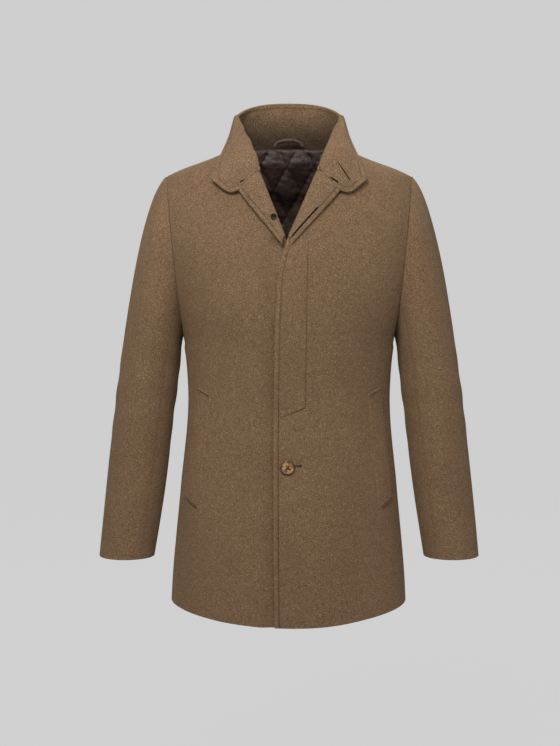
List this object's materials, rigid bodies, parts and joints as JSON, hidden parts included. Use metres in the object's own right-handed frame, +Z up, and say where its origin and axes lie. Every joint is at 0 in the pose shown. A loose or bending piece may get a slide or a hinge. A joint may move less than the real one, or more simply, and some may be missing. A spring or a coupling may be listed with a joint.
{
  "type": "wool car coat",
  "caption": "Thigh-length wool coat with a stand collar turned out at the neck, concealed fly, slanted welt pockets, set-in sleeves and a dark quilted lining.",
  "frame": {"origin": "middle of the shoulder line, where the wearer's shoulders or a hanger carry the coat", "axes": "+Z up, the front faces -Y, the wearer's left sleeve is at +X"},
  "size_m": [0.674, 0.2888, 0.9133],
  "materials": {
    "wool_melange": "brushed heather twill",
    "satin_lining": "satin, diamond quilted",
    "ecru_canvas": "open plain weave",
    "pad_felt": "needled felt",
    "horn_button": "polished horn effect",
    "dark_button": "satin",
    "thread": "twisted thread"
  },
  "bodies": {
    "torso": {"left_front_panel": "wool_melange", "right_front_panel": "wool_melange", "left_back_panel": "wool_melange", "right_back_panel": "wool_melange", "left_side_panel": "wool_melange", "right_side_panel": "wool_melange", "left_front_facing": "wool_melange", "right_front_facing": "wool_melange", "fly_strip": "wool_melange", "left_chest_canvas": "ecru_canvas", "right_chest_canvas": "ecru_canvas", "left_pocket_welt": "wool_melange", "right_pocket_welt": "wool_melange", "left_pocket_bag": "satin_lining", "right_pocket_bag": "satin_lining", "left_front_lining": "satin_lining", "right_front_lining": "satin_lining", "back_lining": "satin_lining", "left_shoulder_pad": "pad_felt", "right_shoulder_pad": "pad_felt", "left_lapel": "wool_melange", "right_lapel": "wool_melange", "under_collar": "wool_melange", "top_collar": "wool_melange", "front_button_shank": "thread", "fly_button_1": "dark_button", "fly_button_2": "dark_button", "fly_button_3": "dark_button", "neck_button": "dark_button"},
    "left_upper_arm": {"left_upper_sleeve": "wool_melange", "left_upper_sleeve_lining": "satin_lining", "left_elbow_cloth": "wool_melange"},
    "left_forearm": {"left_forearm_sleeve": "wool_melange", "left_forearm_lining": "satin_lining", "left_cuff_turn_up": "wool_melange"},
    "right_upper_arm": {"right_upper_sleeve": "wool_melange", "right_upper_sleeve_lining": "satin_lining", "right_elbow_cloth": "wool_melange"},
    "right_forearm": {"right_forearm_sleeve": "wool_melange", "right_forearm_lining": "satin_lining", "right_cuff_turn_up": "wool_melange"},
    "front_button": {"front_button": "horn_button"},
    "hanger_loop": {"hanger_loop": "satin_lining"}
  },
  "joints": [
    {"name": "left_shoulder_raise", "type": "hinge", "parent": "torso", "child": "left_upper_arm", "pos_m": [0.216, 0, -0.0385], "axis": [0, -1, 0], "range_deg": [0, 20]},
    {"name": "left_elbow_bend", "type": "hinge", "parent": "left_upper_arm", "child": "left_forearm", "pos_m": [0.254, -0.003, -0.425], "axis": [-1, 0, 0], "range_deg": [0, 55], "deforming": ["left_elbow_cloth"]},
    {"name": "right_shoulder_raise", "type": "hinge", "parent": "torso", "child": "right_upper_arm", "pos_m": [-0.216, 0, -0.0385], "axis": [0, 1, 0], "range_deg": [0, 20]},
    {"name": "right_elbow_bend", "type": "hinge", "parent": "right_upper_arm", "child": "right_forearm", "pos_m": [-0.254, -0.003, -0.425], "axis": [-1, 0, 0], "range_deg": [0, 55], "deforming": ["right_elbow_cloth"]},
    {"name": "front_button_turn", "type": "hinge", "parent": "torso", "child": "front_button", "pos_m": [-0.003, -0.1346, -0.542], "axis": [0, -1, 0], "range_deg": [-30, 30]},
    {"name": "hanger_loop_flip", "type": "hinge", "parent": "torso", "child": "hanger_loop", "pos_m": [0, 0.059, 0.008], "axis": [1, 0, 0], "range_deg": [0, 80]}
  ]
}
